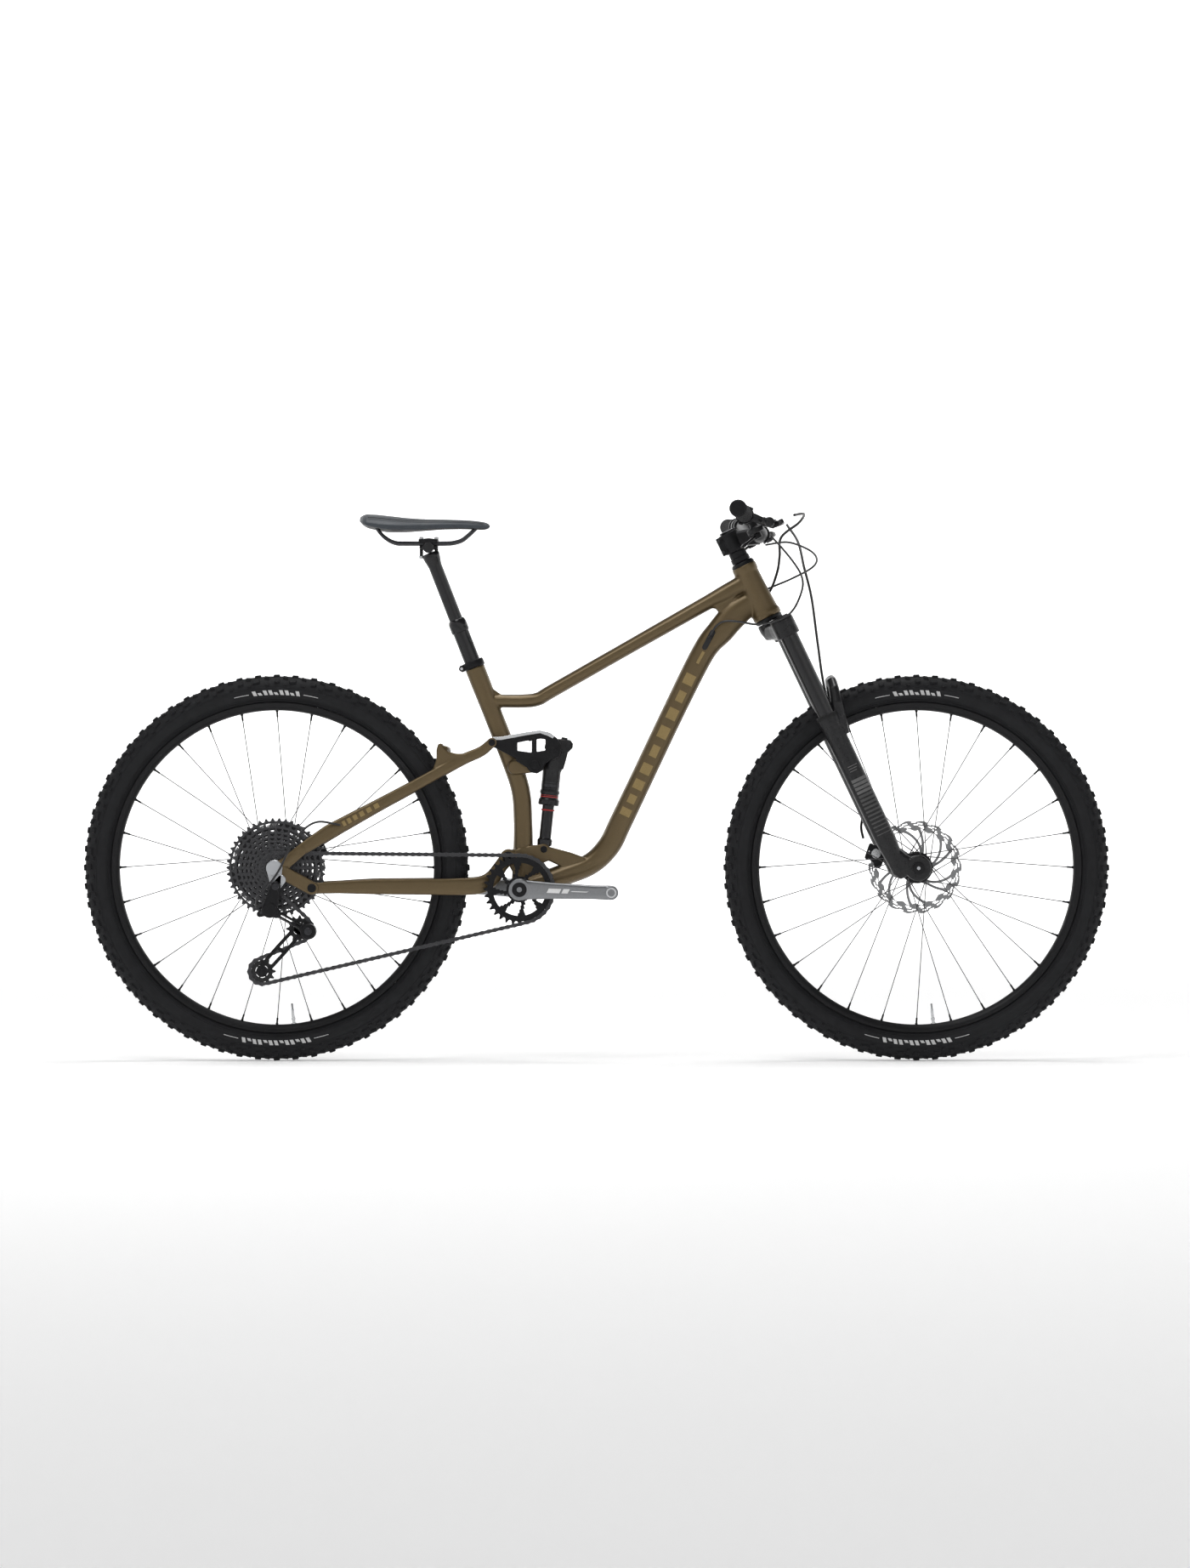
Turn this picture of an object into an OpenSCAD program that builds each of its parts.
// Full-suspension mountain bike with 29 inch wheels. All sizes are in millimetres.
// X points forward, Y to the rider's left and Z up. The origin is on the ground, half way
// between the two tyre contacts, in the middle plane of the bike.

/* [Wheels] */
// Distance between the two wheel axles
wheelbase = 1226; // [1222:1:1230]
// Outer diameter of a fitted tyre
tyre_d = 740; // [736:1:742]
// Width of a tyre
tyre_w = 60; // [56:1:60]
// Outer diameter of a rim, where the spokes end
rim_d = 604; // [600:1:606]
// Spokes in each wheel
spoke_count = 28; // [24:4:32]
// Diameter of a brake rotor
rotor_d = 180; // [160:20:180]

/* [Frame] */
// Head tube angle from the ground, in degrees
head_angle = 64.6; // [64.4:0.1:64.8]
// Length of the head tube
head_len = 110; // [108:1:112]
// Outer diameter of the down tube
down_tube_d = 43; // [38:1:46]
// Outer diameter of the top tube
top_tube_d = 28; // [26:1:32]
// Outer diameter of the seat tube
seat_tube_d = 36; // [35:1:38]
// Wall of a frame tube
tube_wall = 2; // [1.5:0.5:3]

/* [Drive] */
// Crank length from the spindle to the pedal hole
crank_len = 175; // [170:1:175]
// Teeth on the chainring
ring_teeth = 32; // [30:2:32]
// Sprockets on the cassette
cog_count = 12; // [11:1:12]
// Distance of the chainring from the middle plane
chain_line = 52; // [51:1:53]

/* [Suspension] */
// Travel of the fork
fork_travel = 120; // [100:5:120]
// Diameter of a fork stanchion
stanchion_d = 35; // [32:1:35]
// Distance between the two fork legs
leg_spacing = 130; // [128:1:132]
// Travel of the dropper seatpost
dropper_travel = 125; // [100:5:125]

/* [Cockpit] */
// Width of the handlebar
bar_w = 760; // [740:10:780]
// Diameter of the handlebar under the grips
bar_d = 22.2; // [22.2:0.1:22.2]
// Length of one grip
grip_len = 130; // [120:5:135]

/* [Hidden] */
$fn = 48;

// Running clearance of a shaft in its hole, on the radius
fit = 0.05;
// Ball joints stand a little proud of the rods they join
ball = 0.4;
// Thread root of a pedal, a stay bolt and the like
pedal_hole_r = 7.1;

// Side-view points, each [x, z]
axle_z = tyre_d / 2;
rear_hub_at = [-wheelbase / 2, axle_z];
front_hub_at = [wheelbase / 2, axle_z];
bb = [-147, 329];
main_pivot = [-169, 390];
horst_pivot = [-542, 332];
stay_pivot = [-200, 609];
rocker_pivot = [-118, 566];
shock_top = [-82, 592];
shock_foot = [-101, 405];
head_low = [328.8, 849.3];
seat_low = [-168, 585];
seat_tilt = -21.3;
seat_tube_top = 180;

// Fork and wheel places on the steering axis, measured from the lower end of the head tube
leg_x = 18;
axle_x = 51;
axle_drop = -555;
lowers_top = -221;
stanchion_r = stanchion_d / 2;
leg_y = leg_spacing / 2;

// Points of a side view on the middle plane, made into space points
function xz(p, y = 0) = [p[0], y, p[1]];
// Flank of a link between two circles, set a hair inside their outer tangents
flank_inset = 0.03;
function flanks(a, b, ra, rb) = tangents(a, b, ra - flank_inset, rb - flank_inset);
function tangents(a, b, ra, rb) = let (d = b - a, base = atan2(d[1], d[0]),
    off = acos((ra - rb) / norm(d)))
    [a + ra * [cos(base + off), sin(base + off)], a + ra * [cos(base - off), sin(base - off)],
     b + rb * [cos(base - off), sin(base - off)], b + rb * [cos(base + off), sin(base + off)]];
// Points on an arc of a side view, from angle a0 to a1 in degrees
function arc2(c, r, a0, a1, n) = [for (i = [0:n]) c + r * [cos(a0 + (a1 - a0) * i / n),
    sin(a0 + (a1 - a0) * i / n)]];

// Round pin across the bike from y0 to y1
module pin(p, y0, y1, r) translate([p[0], y0, p[1]]) rotate([-90, 0, 0]) cylinder(h = y1 - y0, r = r);
// Side-view outline made solid from y0 to y1
module plate(y0, y1) translate([0, y1, 0]) rotate([90, 0, 0]) linear_extrude(y1 - y0) children();
// Bar with round ends, as a flat outline
module link2(a, b, ra, rb) {
    translate(a) circle(r = ra);
    translate(b) circle(r = rb);
    polygon(flanks(a, b, ra, rb));
}
// Rod between two space points
module rod(a, b, r1, r2) {
    d = b - a;
    translate(a) rotate([0, acos(d[2] / norm(d)), atan2(d[1], d[0])]) cylinder(h = norm(d), r1 = r1, r2 = r2);
}
// Bent rod through several points, with balls at the bends
module bent_rod(pts, r) {
    for (i = [0:len(pts) - 2]) rod(pts[i], pts[i + 1], r, r);
    for (i = [1:len(pts) - 2]) translate(pts[i]) sphere(r = r + ball);
}
// The same thing on both sides of the bike
module both_sides() {
    children();
    mirror([0, 1, 0]) children();
}
// Steering axis: Z runs up the head tube from its lower end
module on_steerer() translate(xz(head_low)) rotate([0, head_angle - 90, 0]) children();
// Seatpost axis: Z runs up the post from the bend of the seat tube
module on_seatpost() translate(xz(seat_low)) rotate([0, seat_tilt, 0]) children();

// Tube swept along points with flat sides; used for hoses and the chain
function unit(v) = v / norm(v);
function heading(p, i) = unit((i == len(p) - 1 ? p[i] : p[i + 1]) - (i == 0 ? p[i] : p[i - 1]));
function across(t) = unit(cross(t, abs(t[1]) > 0.9 ? [1, 0, 0] : [0, 1, 0]));
function ring_at(p, i, ra, rb, sides) = let (t = heading(p, i), u = across(t), v = cross(t, u))
    [for (k = [0:sides - 1]) p[i] + ra * cos(360 * k / sides) * u + rb * sin(360 * k / sides) * v];
// Smooth curve through the points p, with n steps between neighbours
function smooth_at(p, i, t) = let (a = p[max(i - 1, 0)], b = p[i], c = p[i + 1],
    d = p[min(i + 2, len(p) - 1)])
    0.5 * (2 * b + (c - a) * t + (2 * a - 5 * b + 4 * c - d) * t * t
    + (3 * b - a - 3 * c + d) * t * t * t);
function smooth(p, n) = concat([for (i = [0:len(p) - 2], k = [0:n - 1]) smooth_at(p, i, k / n)],
    [p[len(p) - 1]]);
module hose(p, r, sides = 8) {
    n = len(p);
    pts = [for (i = [0:n - 1]) each ring_at(p, i, r, r, sides)];
    walls = [for (i = [0:n - 2], k = [0:sides - 1]) let (m = (k + 1) % sides)
        [i * sides + k, i * sides + m, (i + 1) * sides + m, (i + 1) * sides + k]];
    first = [for (k = [sides - 1:-1:0]) k];
    last = [for (k = [0:sides - 1]) (n - 1) * sides + k];
    polyhedron(points = pts, faces = concat([first, last], walls), convexity = 8);
}

// ---- Frame ----
down_pts = [[312, 885], [262, 852], [205, 789], [37, 437], [16, 398], [-20, 368], [-147, 329]];
top_pts = [[-183, 689.5], [-119, 689.5], [208.6, 876], [280, 912]];
seat_pts = [[-141, 345], [-141, 458], [-147, 524], seat_low,
    seat_low + seat_tube_top * [sin(seat_tilt), cos(seat_tilt)]];
seat_brace = [[-216, 746], [-160, 694], [-184, 684], [-196, 700]];
throat = [[217, 862], [290, 905], [300, 870], [215, 800]];
post_r = 15.45;
cup_bore_r = 20;
steerer_r = 14.3;
bb_half = 36.5;
bb_bore_r = 18;
spindle_r = 12;
main_axle_r = 7.5;
rocker_axle_r = 6;
shock_bolt_r = 4;
lug_in = 12;
lug_out = 20;

module main_frame() color("#6b5b3e") difference() {
    union() {
        on_steerer() cylinder(h = head_len, r1 = 28, r2 = 23);
        bent_rod([for (p = down_pts) xz(p)], down_tube_d / 2);
        bent_rod([for (p = top_pts) xz(p)], top_tube_d / 2);
        bent_rod([for (p = seat_pts) xz(p)], seat_tube_d / 2);
        plate(-6, 6) polygon(seat_brace);
        plate(-14, 14) polygon(throat);
        pin(bb, -bb_half, bb_half, 22);
        pin(main_pivot, -22, 22, 15);
        pin(rocker_pivot, -15, 15, 9);
        both_sides() plate(lug_in, lug_out) shock_tray();
        both_sides() plate(13, 22.5) link2(rocker_pivot, [-159, 563], 13, 15);
    }
    on_steerer() translate([0, 0, -1]) cylinder(h = head_len + 2, r = cup_bore_r);
    on_seatpost() translate([0, 0, 5]) cylinder(h = seat_tube_top + 20, r = post_r + fit);
    rod(xz([45, 455]), xz([195, 768]), down_tube_d / 2 - tube_wall, down_tube_d / 2 - tube_wall);
    rod(xz([-112, 693.5]), xz([205, 874]), top_tube_d / 2 - tube_wall, top_tube_d / 2 - tube_wall);
    pin(bb, -bb_half - 1, bb_half + 1, bb_bore_r);
    pin(main_pivot, -23, 23, main_axle_r + fit);
    pin(rocker_pivot, -23, 23, rocker_axle_r + fit);
    pin(shock_foot, -lug_out - 1, lug_out + 1, shock_bolt_r + fit);
}
module shock_tray() {
    link2(shock_foot, bb, 12, 18);
    link2(shock_foot, [-28, 374], 12, 14);
    link2(shock_foot, main_pivot, 10, 12);
}
module ring(h, ro, ri) difference() {
    cylinder(h = h, r = ro);
    translate([0, 0, -1]) cylinder(h = h + 2, r = ri);
}
module headset_cups() on_steerer() {
    cup_r = cup_bore_r - fit / 2;
    for (z = [-8, head_len]) translate([0, 0, z]) ring(8, z < 0 ? 27 : 23, steerer_r + fit);
    for (z = [-1, head_len - 12]) translate([0, 0, z]) ring(13, cup_r, steerer_r + fit);
}
module bottom_bracket_cups() both_sides() difference() {
    union() {
        pin(bb, bb_half, bb_half + 7, 21.5);
        pin(bb, 10, bb_half + 1, bb_bore_r - fit / 2);
    }
    pin(bb, 9, bb_half + 8, spindle_r + fit);
}
module bearing_cups() color("#161616") {
    headset_cups();
    bottom_bracket_cups();
}
module seat_clamp() color("#161616") on_seatpost() translate([0, 0, seat_tube_top]) {
    difference() {
        union() {
            cylinder(h = 14, r = 21);
            translate([-29, -8, 0]) cube([12, 16, 14]);
        }
        translate([0, 0, -1]) cylinder(h = 16, r = post_r + fit);
        translate([-30, -1, -1]) cube([18, 2, 16]);
    }
}
collar_at = 279;
module dropper_outer() color("#101010") on_seatpost() difference() {
    union() {
        translate([0, 0, 8]) cylinder(h = collar_at - 30, r = post_r);
        translate([0, 0, collar_at - 26]) cylinder(h = 26, r = 17.5);
    }
    translate([0, 0, 12]) cylinder(h = collar_at, r = 13 + fit);
}
module frame_pivot_axles() color("#202020") {
    pin(main_pivot, -36, 36, main_axle_r);
    both_sides() pin(main_pivot, 34.4, 38, 11);
    pin(rocker_pivot, -34, 34, rocker_axle_r);
    both_sides() pin(rocker_pivot, 32.4, 35.5, 9);
    pin(shock_foot, -22, 22, shock_bolt_r);
    both_sides() pin(shock_foot, lug_out, lug_out + 3, 7);
}

// ---- Rear triangle ----
horst_r = 5;
stay_lug_r = 9.5;
stay_bolt_r = 4;
// Hidden play of the two loop joints that are left open
stay_play = 2.8;
shock_play = 1.9;
stay_plan = [[-130, 23], [-190, 23], [-250, 34], [-427, 50], [-500, 66], [-530, 70], [-560, 70],
    [-560, 77.5], [-510, 77.5], [-427, 64], [-300, 54], [-235, 47], [-188, 34], [-130, 34]];
seat_stay_plan = [[-185, 33], [-250, 36], [-411, 45], [-508, 58], [-522, 70], [-640, 74],
    [-640, 84], [-545, 84], [-500, 72], [-411, 59], [-300, 50], [-185, 43]];

module cut_to_plan(plan) intersection() {
    children();
    linear_extrude(800) polygon(plan);
}
module chainstays() color("#6b5b3e") difference() {
    union() {
        both_sides() cut_to_plan(stay_plan) plate(20, 80) {
            link2(main_pivot, [-193, 360], 15, 14);
            link2([-193, 360], [-235, 333], 14, 16);
            link2([-235, 333], [-427, 334], 16, 15.5);
            link2([-427, 334], horst_pivot, 15.5, 13);
        }
        pin([-196, 352], -28, 28, 9);
    }
    pin(main_pivot, -40, 40, main_axle_r + fit);
    pin(horst_pivot, -90, 90, horst_r + fit);
}
module horst_pivot_bolts() color("#1c1c1c") both_sides() {
    pin(horst_pivot, 70, 85, horst_r);
    pin(horst_pivot, 84.3, 87, 8);
    pin(horst_pivot, 68, 70, 8);
}
rear_axle_r = 6;
horn = [-296, 596];
module seatstays() color("#6b5b3e") difference() {
    union() {
        both_sides() cut_to_plan(seat_stay_plan) plate(20, 90) {
            link2(stay_pivot, [-260, 576], stay_lug_r, 11);
            link2([-260, 576], [-508, 441], 11, 14);
            link2([-508, 441], [-590, 386], 14, 9);
            link2([-590, 386], rear_hub_at, 9, 16);
        }
        both_sides() plate(78, 84) link2(rear_hub_at, horst_pivot, 16, 13);
        both_sides() plate(37, 46) link2([-262, 577], horn, 9, 8);
        pin(horn, -40, 40, 8);
    }
    pin(rear_hub_at, -90, 90, rear_axle_r + fit);
    pin(horst_pivot, -90, 90, horst_r + fit);
    both_sides() pin(stay_pivot, 30, 41, stay_bolt_r + stay_play);
}
hanger_bolt = [-610, 336];
module derailleur_hanger() color("#b9bbbd") difference() {
    plate(-88, -84.05) link2(rear_hub_at, hanger_bolt, 13, 10);
    pin(rear_hub_at, -90, -80, rear_axle_r + fit);
    pin(hanger_bolt, -90, -80, 5 + fit);
}
b_knuckle = [-621, 291];
p_knuckle = [-548, 250];
swing_low = [-557, -94, 256];
swing_high = [-608, -94, 284];
swing_tilt = [0, 34.8, 44.1];
swing_range = [-6, 26];
eye_r = 7;
eye_len = 12;
swing_pin_r = 2.5;
module on_swing(p) translate(p) rotate(swing_tilt[2]) rotate([0, swing_tilt[1], 0]) children();
// Room for the eye and for the arm over its whole swing
module swing_room(at, from, turn) {
    on_swing(at) translate([0, 0, -eye_len / 2 - 0.4]) cylinder(h = eye_len + 0.8, r = eye_r + 1);
    for (a = [swing_range[0]:8:swing_range[1]]) on_swing(at) rotate(turn * a) rotate([0, -swing_tilt[1], 0])
        rotate(-swing_tilt[2]) rod([0, 0, 0], from - at, 5.6, 5.6);
}
module swing_pin(at) on_swing(at) translate([0, 0, -eye_len / 2 - 3]) cylinder(h = eye_len + 6, r = swing_pin_r);
module derailleur_mount() color("#1b1c1e") {
    difference() {
        union() {
            plate(-104, -88.05) link2(hanger_bolt, b_knuckle, 10, 18);
            pin(hanger_bolt, -89, -83, 5);
        }
        swing_room(swing_high, swing_low, 1);
    }
    swing_pin(swing_high);
}
module rear_axle() color("#141414") {
    pin(rear_hub_at, -88, 90, rear_axle_r);
    pin(rear_hub_at, 84.1, 91, 9);
}
rear_rotor_y = 62;
caliper_at = rear_hub_at + 80 * [cos(24), sin(24)];
module caliper_body(y, depth_in, depth_out) difference() {
    union() {
        pin([0, 0], y - depth_in, y + depth_out, 15);
        plate(y - depth_in, y + depth_out) link2([-18, -10], [18, -10], 8, 8);
    }
    translate([-40, y - 1.7, -40]) cube([80, 3.4, 80]);
}
module caliper_bridge(y, depth_in, depth_out) plate(y - depth_in, y + depth_out)
    link2([-12, 14], [12, 14], 4, 4);
module rear_brake_caliper() color("#202124") translate(xz(caliper_at)) rotate([0, 66, 0]) {
    caliper_body(rear_rotor_y, 12, 7.5);
    caliper_bridge(rear_rotor_y, 12, 7.5);
}

// ---- Rocker and shock ----
arm_in = 24;
arm_out = 32;
module rocker_link() color("#1d1d1f") difference() {
    union() {
        both_sides() plate(arm_in, arm_out) {
            link2(stay_pivot, rocker_pivot, 9, 14);
            link2(rocker_pivot, shock_top, 14, 12);
            link2(stay_pivot, [-161, 614], 9, 5);
            link2([-161, 614], [-107, 624], 5, 5);
            link2([-107, 624], shock_top, 5, 12);
            polygon([[-160, 610], [-110, 620], shock_top, rocker_pivot]);
        }
        pin([-128, 617], -arm_in, arm_in, 5);
    }
    pin(rocker_pivot, -40, 40, rocker_axle_r + fit);
    both_sides() plate(arm_in - 1, arm_out + 1) {
        polygon([[-156, 606], [-124, 613], [-124, 586], [-140, 590]]);
        polygon([[-115, 613], [-99, 608], [-102, 594], [-115, 590]]);
    }
}
module rocker_bolts() color("#2a2a2c") {
    both_sides() {
        pin(stay_pivot, arm_out, 40.5, stay_bolt_r);
        pin(shock_top, arm_out, arm_out + 3, 8);
    }
    pin(shock_top, -arm_in, arm_in, shock_bolt_r);
}
shock_len = norm(shock_top - shock_foot);
shock_lean = atan2(shock_top[0] - shock_foot[0], shock_top[1] - shock_foot[1]);
shaft_r = 11.5;
shaft_end = 112;
can_low = 85;
module on_shock() translate(xz(shock_foot)) rotate([0, shock_lean, 0]) children();
module shock_shaft() color("#111111") difference() {
    union() {
        pin(shock_foot, -11.5, 11.5, 12);
        on_shock() cylinder(h = shaft_end, r = shaft_r);
        on_shock() translate([0, 0, 16]) cylinder(h = 12, r = 14);
    }
    pin(shock_foot, -13, 13, shock_bolt_r + fit);
}
module shock_air_can() color("#141414") difference() {
    union() {
        on_shock() translate([0, 0, can_low]) cylinder(h = 12, r = 20);
        on_shock() translate([0, 0, can_low + 12]) cylinder(h = 64, r = 17.5);
        on_shock() translate([0, 0, shock_len - 34]) cylinder(h = 26, r = 19);
        pin(shock_top, -22, 22, 12);
        plate(-14, 14) link2([-88, 596], [-58, 604], 12, 9);
        plate(-12, 12) link2([-62, 604], [-60, 574], 8, 7);
    }
    on_shock() translate([0, 0, can_low - 1]) cylinder(h = 62, r = shaft_r + fit);
    pin(shock_top, -25, 25, shock_bolt_r + shock_play);
}

// ---- Crank and drive ----
crank_angle = -2;
pedal_right = bb + crank_len * [cos(crank_angle), sin(crank_angle)];
pedal_left = bb - crank_len * [cos(crank_angle), sin(crank_angle)];
link_pitch = 12.7;
ring_pitch_r = link_pitch / 2 / sin(180 / ring_teeth);
ring_tip_r = ring_pitch_r + 3.6;

module crank_spindle() color("#2b2b2d") pin(bb, -78, 78, spindle_r);
module crank_arm(pedal, y0, y1) difference() {
    union() {
        plate(y1 - 15, y1) link2(bb, pedal, 19, 13);
        pin(bb, y0, y1 + 1, 21);
    }
    pin(bb, y0 - 1, 79 - 1, spindle_r + fit / 2);
    pin(pedal, 60, 90, pedal_hole_r);
}
module crank_arm_left() color("#8e9093") crank_arm(pedal_left, 46, 85);
module crank_arm_right() color("#8e9093") mirror([0, 1, 0]) crank_arm(pedal_right, 56.1, 85);
function teeth_outline(c, r_root, r_tip, n) = [for (i = [0:4 * n - 1])
    c + (i % 4 < 2 ? r_tip : r_root) * [cos(90 * i / n), sin(90 * i / n)]];
module chainring() color("#17181a") difference() {
    plate(-chain_line - 2, -chain_line + 2) difference() {
        polygon(teeth_outline(bb, ring_pitch_r - 4, ring_tip_r, ring_teeth));
        for (a = [0:45:315]) translate(bb) rotate(a) translate([42, 0]) circle(r = 10);
    }
    pin(bb, -80, 0, spindle_r + fit);
}

// ---- Wheels ----
rim_r = rim_d / 2;
rim_h = 15;
spoke_r = 0.9;
flange_r = 30;

module revolve_at(at) translate(xz(at)) rotate([90, 0, 0]) rotate_extrude($fn = 96) children();
module tyre(at) revolve_at(at) difference() {
    translate([(tyre_d - tyre_w) / 2, 0]) circle(r = tyre_w / 2);
    translate([(tyre_d - tyre_w) / 2, 0]) circle(r = tyre_w / 2 - 3);
    translate([0, -tyre_w]) square([rim_r + rim_h + fit, 2 * tyre_w]);
}
module rim(at) revolve_at(at) translate([rim_r, 0])
    polygon([[0, -7], [0, 7], [6, 14], [rim_h, 16], [rim_h, 13], [9, 11], [7, 6],
        [7, -6], [9, -11], [rim_h, -13], [rim_h, -16], [6, -14]]);
// Spokes leave a flange at a slant, every second pair the other way round
module spokes(at, y_right, y_left) translate(xz(at)) for (i = [0:spoke_count - 1]) {
    side = i % 2 == 0 ? y_right : y_left;
    lean = i % 4 < 2 ? 1 : -1;
    a = 360 * i / spoke_count;
    b = a + lean * 52;
    rod([(flange_r - 3) * cos(b), side + 1.6 * lean, (flange_r - 3) * sin(b)],
        [(rim_r + 1) * cos(a), 0, (rim_r + 1) * sin(a)], spoke_r, spoke_r);
}
module rotor(at, y) color("#8d9093") difference() {
    pin(at, y - 0.9, y + 0.9, rotor_d / 2);
    pin(at, y - 2, y + 2, 22);
    for (a = [0:60:300]) pin(at + 50 * [cos(a), sin(a)], y - 2, y + 2, 17);
    for (a = [0:10:350]) pin(at + (rotor_d / 2 - 8) * [cos(a), sin(a)], y - 2, y + 2, 3);
}
module hub(at, y0, y1, flange_y0, flange_y1, shell_r, rotor_y, bore_r) difference() {
    union() {
        pin(at, y0, y1, bore_r + 4);
        pin(at, flange_y0, flange_y1, shell_r);
        for (y = [flange_y0, flange_y1]) pin(at, y - 1.5, y + 1.5, flange_r);
        pin(at, flange_y1, rotor_y - 0.9, 20);
        pin(at, rotor_y - 4, rotor_y - 0.9, 27);
        pin(at, rotor_y - 1, rotor_y + 3, 21.95);
    }
    pin(at, y0 - 1, y1 + 1, bore_r);
}
rear_flanges = [-22, 32];
front_flanges = [-28, 26];
front_rotor_y = 41;
front_axle_r = 7.5;
module rear_tyre() color("#17181a") tyre(rear_hub_at);
module rear_rim() color("#101113") rim(rear_hub_at);
module rear_spokes() color("#c4c6c8") spokes(rear_hub_at, rear_flanges[0], rear_flanges[1]);
module rear_hub() color("#17181a")
    hub(rear_hub_at, -26.5, 72.5, rear_flanges[0], rear_flanges[1], 16, rear_rotor_y, rear_axle_r + fit);
module rear_rotor() rotor(rear_hub_at, rear_rotor_y);
module front_tyre() color("#17181a") tyre(front_hub_at);
module front_rim() color("#101113") rim(front_hub_at);
module front_spokes() color("#c4c6c8") spokes(front_hub_at, front_flanges[0], front_flanges[1]);
module front_hub() color("#17181a")
    hub(front_hub_at, -54.9, 54.9, front_flanges[0], front_flanges[1], 14, front_rotor_y, front_axle_r + fit);
module front_rotor() rotor(front_hub_at, front_rotor_y);

cog_teeth = [11, 12, 14, 16, 18, 21, 24, 28, 32, 36, 41, 46];
cog_out_y = -66;
cog_step = 3.25;
chain_cog = 2;
function cog_y(i) = cog_out_y + cog_step * i;
function cog_r(i) = link_pitch / 2 / sin(180 / cog_teeth[i]);
module cassette() color("#232427") difference() {
    union() {
        for (i = [0:cog_count - 1]) pin(rear_hub_at, cog_y(i) - 0.9, cog_y(i) + 0.9, cog_r(i) + 2);
        pin(rear_hub_at, -70, -27, 17);
        pin(rear_hub_at, -72.5, -27, 11);
    }
    pin(rear_hub_at, -75, -26, rear_axle_r + fit);
    for (a = [0:40:320]) {
        pin(rear_hub_at + 76 * [cos(a), sin(a)], -35, -28, 9);
        pin(rear_hub_at + 60 * [cos(a + 20), sin(a + 20)], -42, -28, 6);
    }
}
chain_y = cog_y(chain_cog);
pulley_up = [-566, 254];
pulley_low = [-638, 173];
pulley_r = link_pitch / 2 / sin(180 / 12);
pulley_bore = 3;
module pulley(at) color("#141414") difference() {
    pin(at, chain_y - 1.5, chain_y + 1.5, pulley_r - 2);
    pin(at, chain_y - 3, chain_y + 3, pulley_bore + fit);
    for (a = [0:60:300]) pin(at + 13 * [cos(a), sin(a)], chain_y - 3, chain_y + 3, 3.5);
}
module upper_pulley() pulley(pulley_up);
module lower_pulley() pulley(pulley_low);
module derailleur_link() color("#17181a") difference() {
    union() {
        rod(swing_high, swing_low, 4.5, 4.5);
        for (p = [swing_high, swing_low]) on_swing(p) translate([0, 0, -eye_len / 2]) cylinder(h = eye_len, r = eye_r);
    }
    for (p = [swing_high, swing_low]) on_swing(p) translate([0, 0, -eye_len]) cylinder(h = 2 * eye_len, r = swing_pin_r + fit);
}
cage_pin_r = 5;
module derailleur_knuckle() color("#1b1c1e") {
    difference() {
        pin(p_knuckle, -104, -67, 15);
        swing_room(swing_low, swing_high, -1);
        pin(p_knuckle, -80, -60, cage_pin_r + fit);
    }
    swing_pin(swing_low);
}
cage_out = -66.5;
module cage_plate(y0, y1) plate(y0, y1) {
    link2(p_knuckle, pulley_up, 11, 11);
    link2(pulley_up, pulley_low, 11, 12);
}
module derailleur_cage() color("#1a1b1d") {
    cage_plate(cage_out, cage_out + 2.5);
    cage_plate(chain_y + 4, chain_y + 6);
    pin(p_knuckle, -79.5, cage_out + 1.5, cage_pin_r);
    for (p = [pulley_up, pulley_low]) pin(p, cage_out, chain_y + 6, pulley_bore);
}

// Chain: a closed run round four wheels, each [centre, radius, turning sense, y]
chain_gap = 4.15;
chain_wheels = [[bb, ring_tip_r + chain_gap, 1, -chain_line],
    [rear_hub_at, cog_r(chain_cog) + 2 + chain_gap, 1, chain_y],
    [pulley_up, pulley_r - 2 + chain_gap, -1, chain_y], [pulley_low, pulley_r - 2 + chain_gap, 1, chain_y]];
function run_dir(w, v) = let (d = v[0] - w[0])
    atan2(d[1], d[0]) - asin((v[2] * v[1] - w[2] * w[1]) / norm(d));
function wrap_points(before, w, after) = let (
    d0 = run_dir(before, w),
    d1 = run_dir(w, after),
    turn = w[2] * (((d1 - d0) * w[2] % 360 + 360) % 360),
    n = max(2, ceil(abs(turn) / 18)))
    [for (i = [0:n]) let (a = d0 - 90 * w[2] + turn * i / n)
        [w[0][0] + w[1] * cos(a), w[3], w[0][1] + w[1] * sin(a)]];
module chain() color("#2a2b2d") {
    n = len(chain_wheels);
    wraps = [for (i = [0:n - 1]) each wrap_points(chain_wheels[(i + n - 1) % n], chain_wheels[i],
        chain_wheels[(i + 1) % n])];
    last = wraps[len(wraps) - 1];
    meet = last + 0.5 * (wraps[0] - last);
    step = 0.2 * unit(wraps[0] - last);
    chain_tube(concat([meet + step], wraps, [meet - step]), 3.3, 2.2);
}
module chain_tube(p, ra, rb) {
    n = len(p);
    pts = [for (i = [0:n - 1]) each ring_at(p, i, ra, rb, 8)];
    walls = [for (i = [0:n - 2], k = [0:7]) let (m = (k + 1) % 8)
        [i * 8 + k, i * 8 + m, (i + 1) * 8 + m, (i + 1) * 8 + k]];
    polyhedron(points = pts, faces = concat([[for (k = [7:-1:0]) k],
        [for (k = [0:7]) (n - 1) * 8 + k]], walls), convexity = 8);
}

// ---- Fork and steering; local X points forward of the steering axis ----
crown_low = -50;
crown_top = -9;
stem_low = 140;
stem_top = 180;
bar_at_stem = [52, 0, 150];
bar_r = bar_d / 2;
bar_clamp_r = 15.9;
bar_bend = [45, 110, 178];
bar_end = [20.6, bar_w / 2, 201];
function bar_at(y) = bar_bend + (bar_end - bar_bend) * (y - bar_bend[1]) / (bar_end[1] - bar_bend[1]);

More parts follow.
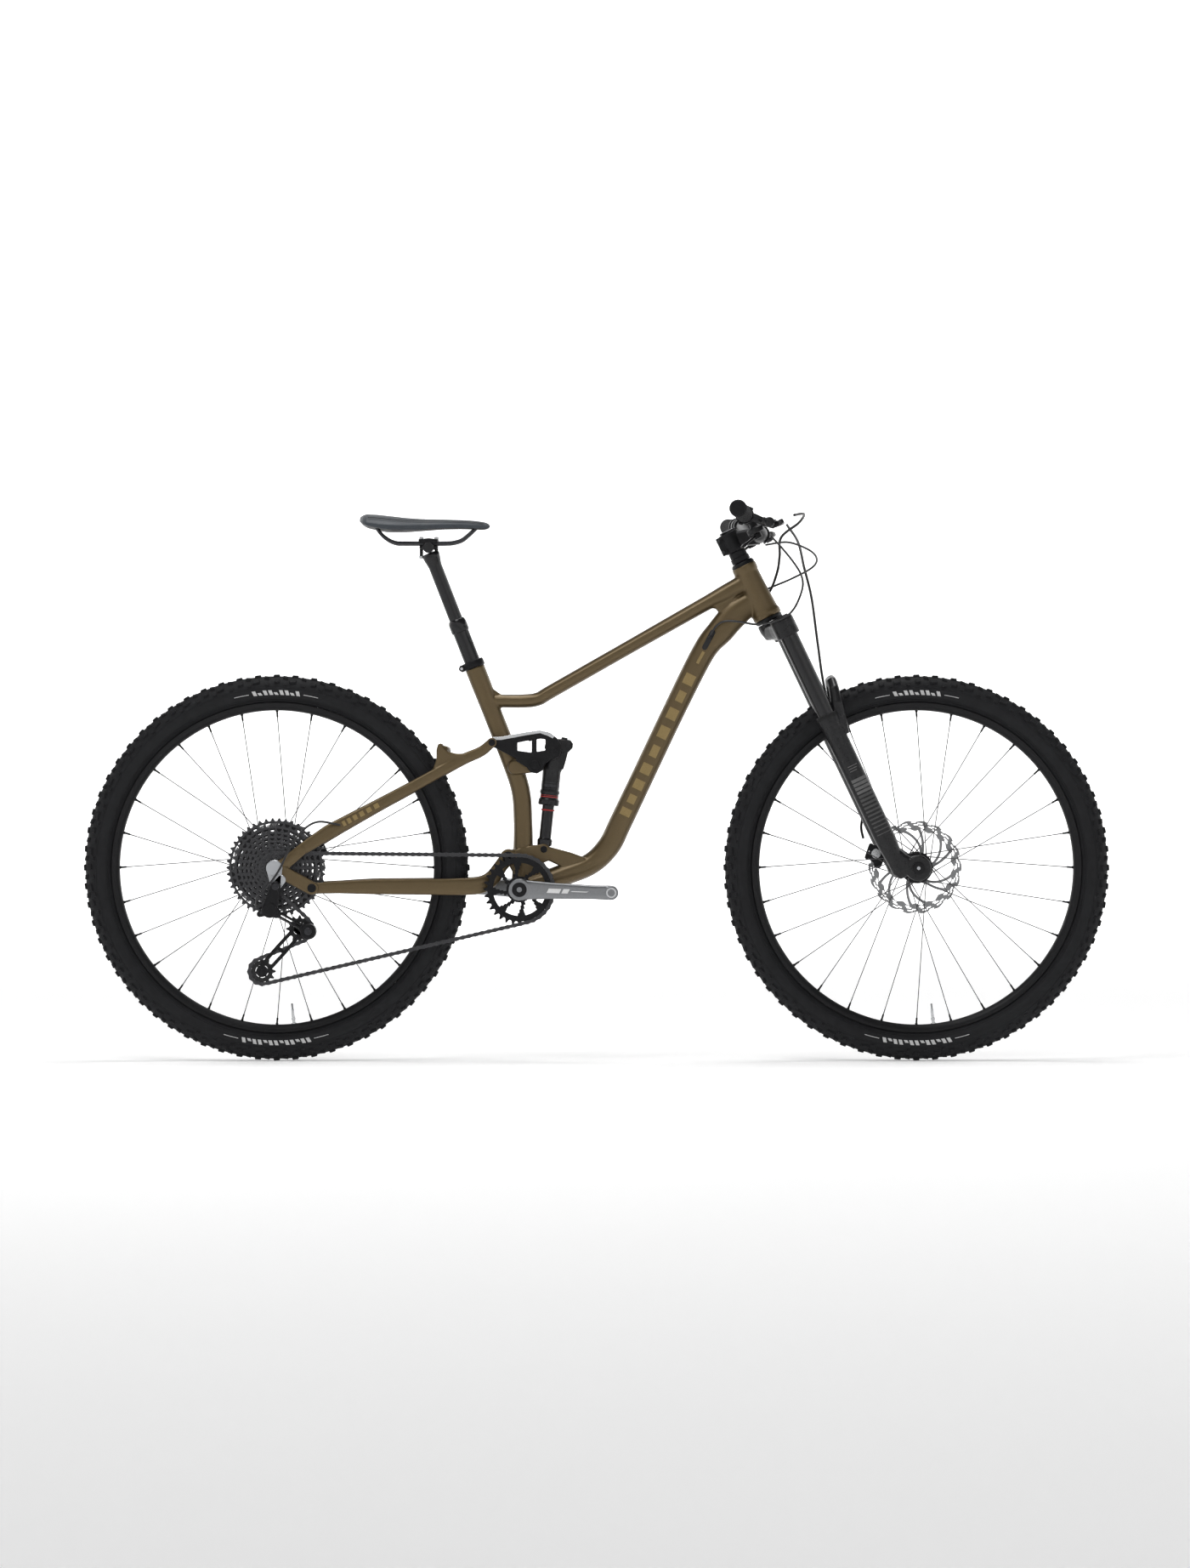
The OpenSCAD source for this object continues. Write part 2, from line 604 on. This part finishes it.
module fork_crown() color("#101011") on_steerer() difference() {
    union() {
        translate([0, 0, crown_low]) linear_extrude(crown_top - crown_low) {
            link2([0, 0], [leg_x, leg_y], 26, 23);
            link2([0, 0], [leg_x, -leg_y], 26, 23);
        }
        translate([0, 0, crown_top - 1]) cylinder(h = stem_top - crown_top - 1, r = steerer_r);
    }
    for (s = [-1, 1]) translate([leg_x, s * leg_y, crown_low - 1])
        cylinder(h = 31, r = stanchion_r + fit / 2);
    translate([0, 0, 20]) cylinder(h = stem_top, r = steerer_r - 2);
}
module fork_stanchions() color("#0c0c0d") on_steerer() for (s = [-1, 1])
    translate([leg_x, s * leg_y, -352]) difference() {
        cylinder(h = 332, r = stanchion_r);
        translate([0, 0, -1]) cylinder(h = 320, r = stanchion_r - 2);
    }
leg_r = 20;
module fork_lowers() color("#121213") difference() {
    on_steerer() difference() {
        union() {
            for (s = [-1, 1]) translate([leg_x, s * leg_y, 0]) {
                translate([0, 0, -492]) cylinder(h = 492 + lowers_top, r = leg_r);
                translate([0, 0, -545]) cylinder(h = 55, r = 16);
                translate([0, 0, lowers_top - 10]) cylinder(h = 10, r = 21.5);
            }
            both_sides() translate([0, leg_y, 0])
                plate(-9.9, 14) link2([leg_x, -520], [axle_x, axle_drop], 16, 25);
            both_sides() bent_rod([[leg_x + 14, leg_y, lowers_top - 20], [44, 62, -196],
                [54, 48, -172], [56, 18, -160], [56, -4, -160]], 8);
        }
        for (s = [-1, 1]) translate([leg_x, s * leg_y, -480]) cylinder(h = 300, r = stanchion_r + 0.1);
    }
    pin(front_hub_at, -90, 90, front_axle_r + fit / 2);
}
module front_axle() color("#161616") {
    pin(front_hub_at, -79, 84, front_axle_r);
    pin(front_hub_at, -82, -79.1, 12);
}
front_caliper_at = front_hub_at + 80 * [cos(161), sin(161)];
module front_brake_caliper() color("#202124") translate(xz(front_caliper_at)) rotate([0, -71, 0]) {
    caliper_body(front_rotor_y, 12, 3.8);
    caliper_bridge(front_rotor_y, 12, 3.8);
}
module stem() color("#131314") on_steerer() difference() {
    union() {
        translate([0, 0, stem_low]) cylinder(h = stem_top - stem_low, r = 19);
        intersection() {
            rod([4, 0, 160], bar_at_stem, 15, 17);
            translate([0, -30, stem_low - 10]) cube([80, 60, 60]);
        }
        translate(bar_at_stem) rotate([-90, 0, 0]) translate([0, 0, -26]) cylinder(h = 52, r = 20);
        for (z = [stem_low + 9, stem_top - 9]) translate([-24, 0, z]) rotate([90, 0, 0])
            translate([0, 0, -10]) cylinder(h = 20, r = 6);
    }
    translate([0, 0, stem_low - 1]) cylinder(h = stem_top, r = steerer_r + fit);
    translate(bar_at_stem) rotate([-90, 0, 0]) translate([0, 0, -30]) cylinder(h = 60, r = bar_clamp_r + fit);
    translate([bar_at_stem[0] + 1, -40, 100]) cube([60, 80, 100]);
    translate([-40, -1, stem_low - 1]) cube([28, 2, 60]);
}
module stem_faceplate() color("#131314") on_steerer() difference() {
    union() {
        translate(bar_at_stem) rotate([-90, 0, 0]) translate([0, 0, -26]) cylinder(h = 52, r = 20);
        for (s = [-1, 1], t = [-1, 1]) translate(bar_at_stem + [2, 18 * s, 18 * t]) rotate([0, 90, 0])
            cylinder(h = 14, r = 4.5);
    }
    translate(bar_at_stem) rotate([-90, 0, 0]) translate([0, 0, -30]) cylinder(h = 60, r = bar_clamp_r + fit);
    translate([bar_at_stem[0] - 58, -40, 100]) cube([60, 80, 100]);
}
module headset_spacers() color("#1b1b1c") on_steerer() {
    translate([0, 0, head_len + 8.3]) ring(10, 18.5, steerer_r + fit);
    translate([0, 0, head_len + 18.3]) ring(stem_low - head_len - 18.3, 17, steerer_r + fit);
    translate([0, 0, stem_top]) cylinder(h = 4, r = 17);
    translate([0, 0, stem_top - 14]) cylinder(h = 14, r = steerer_r - 2 - fit);
}
module handlebar() color("#121213") on_steerer() {
    clamp_side = [bar_at_stem[0], 32, bar_at_stem[2]];
    rod(bar_at_stem - [0, 32, 0], clamp_side, bar_clamp_r, bar_clamp_r);
    both_sides() {
        translate(clamp_side) sphere(r = bar_clamp_r - ball);
        rod(clamp_side, bar_bend, bar_clamp_r - 1, bar_r);
        translate(bar_bend) sphere(r = bar_r + ball);
        rod(bar_bend, bar_at(bar_w / 2 - 2), bar_r, bar_r);
    }
}
module round_bar(y0, y1, ro) difference() {
    rod(bar_at(y0), bar_at(y1), ro, ro);
    rod(bar_at(y0 - 3), bar_at(y1 + 3), bar_r + fit, bar_r + fit);
}
module grips() color("#1a1a1b") on_steerer() both_sides() {
    round_bar(bar_w / 2 - grip_len, bar_w / 2 - 1, 15.5);
    round_bar(bar_w / 2 - grip_len - 7, bar_w / 2 - grip_len - 0.1, 17.5);
    rod(bar_at(bar_w / 2 - 0.9), bar_at(bar_w / 2 + 2.5), 15.5, 14);
}
// Lever pivots and the tilt of their pins
lever_pivot = [76, 212, 150];
lever_tip = [84, 322, 146];
lever_tilt = 40.4;
lever_pin_r = 2.5;
module on_lever(p) translate(p) rotate([0, lever_tilt, 0]) children();
module brake_lever_mounts() color("#161617") on_steerer() both_sides() {
    clamp_y = bar_w / 2 - grip_len - 22;
    difference() {
        union() {
            round_bar(clamp_y - 6, clamp_y + 8, 15.5);
            rod(bar_at(clamp_y) + [11, 0, -9], [64, 224, 160], 7, 7);
            rod([64, 192, 161], [68, 268, 156], 8.5, 9.5);
        }
        rod(bar_at(clamp_y - 9), bar_at(clamp_y + 12), bar_r + fit, bar_r + fit);
        on_lever(lever_pivot) translate([0, 0, -4.6]) cylinder(h = 9.2, r = 9);
    }
    on_lever(lever_pivot) {
        translate([0, 0, -8]) cylinder(h = 16, r = lever_pin_r);
        for (z = [-8, 4.6]) translate([-4, 0, z]) difference() {
            translate([-8, -5, 0]) cube([18, 10, 3.4]);
            translate([4, 0, -1]) cylinder(h = 6, r = lever_pin_r - 0.01);
        }
    }
}
module brake_lever() color("#1b1b1d") difference() {
    union() {
        on_lever(lever_pivot) translate([0, 0, -4.4]) cylinder(h = 8.8, r = 6.5);
        rod(lever_pivot, [90, 240, 146], 4, 4);
        translate([90, 240, 146]) sphere(r = 4 + ball);
        rod([90, 240, 146], lever_tip, 4, 3.4);
        translate(lever_tip) sphere(r = 4.6);
    }
    on_lever(lever_pivot) translate([0, 0, -9]) cylinder(h = 18, r = lever_pin_r + fit);
    for (z = [-12.4, 4.4]) on_lever(lever_pivot) translate([-13, -7, z]) cube([22, 16, 8]);
}
module brake_lever_left() on_steerer() brake_lever();
module brake_lever_right() on_steerer() mirror([0, 1, 0]) brake_lever();
remote_y = bar_w / 2 - grip_len - 50;
paddle_pivot = [40, remote_y, 147];
module remote_mount() difference() {
    union() {
        round_bar(remote_y - 6, remote_y + 6, 15);
        rod(bar_at(remote_y) + [4, 0, -13], paddle_pivot + [0, 0, 8], 7, 11);
        translate(paddle_pivot + [0, 0, 3]) cylinder(h = 12, r = 16);
    }
    rod(bar_at(remote_y - 9), bar_at(remote_y + 9), bar_r + fit, bar_r + fit);
}
module paddle_pin() translate(paddle_pivot + [0, 0, -10]) cylinder(h = 14, r = 3);
module shifter_body() color("#17181a") on_steerer() mirror([0, 1, 0]) {
    remote_mount();
    paddle_pin();
}
module dropper_remote_mount() color("#17181a") on_steerer() {
    remote_mount();
    paddle_pin();
}
module paddle(reach) difference() {
    union() {
        translate(paddle_pivot + [0, 0, -8]) cylinder(h = 10.5, r = 8);
        rod(paddle_pivot + [0, 0, -3], paddle_pivot + reach, 4.5, 5.5);
        translate(paddle_pivot + reach + [0, 0, -6.5]) cylinder(h = 12, r = 7);
    }
    translate(paddle_pivot + [0, 0, -12]) cylinder(h = 20, r = 3 + fit);
}
module shift_paddle() color("#2a2b2d") on_steerer() mirror([0, 1, 0]) paddle([-32, 14, -9]);
module dropper_thumb_lever() color("#2a2b2d") on_steerer() paddle([-32, 14, -9]);

// ---- Seat ----
post_head = 412;
rail_y = 22;
module dropper_stanchion() color("#1c1c1e") {
    on_seatpost() translate([0, 0, 150]) cylinder(h = post_head - 150, r = 13);
    difference() {
        union() {
            on_seatpost() translate([0, 0, post_head - 12]) cylinder(h = 16, r1 = 14, r2 = 17);
            pin([-322, 983], -30, 30, 11);
        }
        translate([-345, -40, 989]) cube([50, 80, 30]);
    }
    for (x = [-336, -307]) translate([x, 0, 976]) cylinder(h = 18, r = 3.5);
    translate([-340, -30, 992.6]) cube([36, 60, 6]);
}
rail_pts = [[-420, 26, 1019], [-398, 25, 997], [-372, rail_y, 990.8], [-290, rail_y, 990.8],
    [-258, 18, 997], [-230, 10, 1021]];
module saddle_rails() color("#17181a") both_sides() bent_rod(rail_pts, 3.5);
saddle_side = [[-453, 1041], [-440, 1047], [-400, 1044], [-330, 1038], [-260, 1037], [-215, 1033],
    [-204, 1025], [-212, 1017], [-260, 1019], [-330, 1015], [-385, 1012], [-425, 1018], [-449, 1032]];
saddle_plan = [[-453, 50], [-438, 68], [-408, 71], [-372, 58], [-335, 36], [-290, 25], [-230, 19], [-204, 11]];
module saddle() color("#262c33") intersection() {
    plate(-80, 80) polygon(saddle_side);
    linear_extrude(1100) polygon(concat(saddle_plan,
        [for (i = [len(saddle_plan) - 1:-1:0]) [saddle_plan[i][0], -saddle_plan[i][1]]]));
}

// ---- Hoses and housings, each laid through points chosen along its route ----
hose_r = 2.5;
port_left = [214, 26, 806];
port_right = [218, -26, 814];
rear_brake_route = [[372, -196, 1036], [392, -150, 1040], [384, -95, 1026], [352, -60, 1000], [350, -30, 965],
    [346, 0, 935], [331, 29, 897], [298, 46, 862], [258, 44, 846], [232, 34, 834], port_left];
shift_route = [[330, -175, 996], [352, -140, 975], [374, -112, 950], [389, -98, 926], [391, -94, 901],
    [375, -99, 863], [350, -98, 843], [307, -72, 834], [272, -40, 840], [245, -32, 841], [229, -28, 832], port_right];
dropper_route = [[330, 175, 996], [372, 130, 999], [412, 92, 982], [425, 70, 964], [414, 54, 946],
    [373, 42, 924], [328, 40, 905], [285, 40, 884], [246, 36, 852], [228, 29, 820]];
front_brake_route = [[372, 196, 1036], [392, 150, 1000], [402, 110, 950], [416, 96, 890],
    [428, 92, 800], [440, 92, 720], [462, 92, 640], [498, 93, 540], [513, 90, 475], [511, 76, 446], [514, 58, 426]];
rear_shift_route = [[-488, -78, 452], [-530, -90, 458], [-560, -98, 440], [-584, -105, 405],
    [-602, -108, 368], [-624, -109, 336], [-644, -103, 316], [-646, -95, 300]];
module frame_hoses() color("#121212") {
    hose(smooth(rear_brake_route, 4), hose_r);
    hose(smooth(shift_route, 4), hose_r - 0.5);
    hose(smooth(dropper_route, 4), hose_r - 0.5);
}
module front_brake_hose() color("#121212") hose(smooth(front_brake_route, 4), hose_r);
module rear_shift_housing() color("#121212") hose(smooth(rear_shift_route, 4), hose_r - 0.5);

main_frame();
bearing_cups();
seat_clamp();
dropper_outer();
frame_pivot_axles();
chainstays();
horst_pivot_bolts();
seatstays();
derailleur_hanger();
derailleur_mount();
rear_axle();
rear_brake_caliper();
rocker_link();
rocker_bolts();
shock_shaft();
shock_air_can();
crank_spindle();
crank_arm_right();
crank_arm_left();
chainring();
rear_tyre();
rear_rim();
rear_spokes();
rear_hub();
rear_rotor();
cassette();
derailleur_link();
derailleur_knuckle();
derailleur_cage();
upper_pulley();
lower_pulley();
chain();
fork_crown();
fork_stanchions();
stem();
stem_faceplate();
headset_spacers();
handlebar();
grips();
brake_lever_mounts();
shifter_body();
dropper_remote_mount();
brake_lever_right();
brake_lever_left();
shift_paddle();
dropper_thumb_lever();
fork_lowers();
front_axle();
front_brake_caliper();
front_tyre();
front_rim();
front_spokes();
front_hub();
front_rotor();
dropper_stanchion();
saddle_rails();
saddle();
frame_hoses();
front_brake_hose();
rear_shift_housing();
